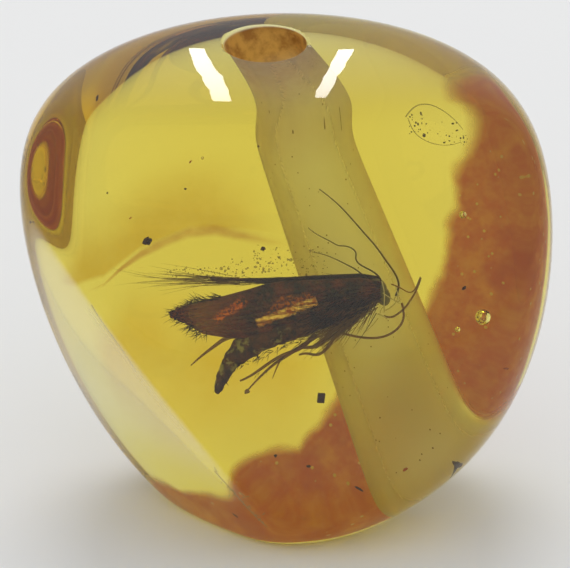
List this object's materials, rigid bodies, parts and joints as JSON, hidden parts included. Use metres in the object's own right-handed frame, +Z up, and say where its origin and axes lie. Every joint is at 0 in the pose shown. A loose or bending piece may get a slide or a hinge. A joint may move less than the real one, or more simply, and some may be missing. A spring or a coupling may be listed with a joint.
{
  "type": "insect in amber bead",
  "caption": "Polished freeform amber bead, drilled through for a string, with a small moth sealed inside behind its domed front window.",
  "frame": {"origin": "on the surface it rests on, under the middle of the bead's bounding box", "axes": "+Z up from the flat base to the top of the bead, -Y out of the domed front window, +X to the moth's head"},
  "size_m": [0.012, 0.008, 0.0102],
  "materials": {
    "amber": "clear yellow resin, polished, with orange-brown weathered skin at the back right and underneath",
    "moth": "dark brown chitin with golden scales on the wing"
  },
  "bodies": {
    "root": {"amber_front": "amber", "amber_back": "amber", "moth": "moth"}
  },
  "joints": []
}
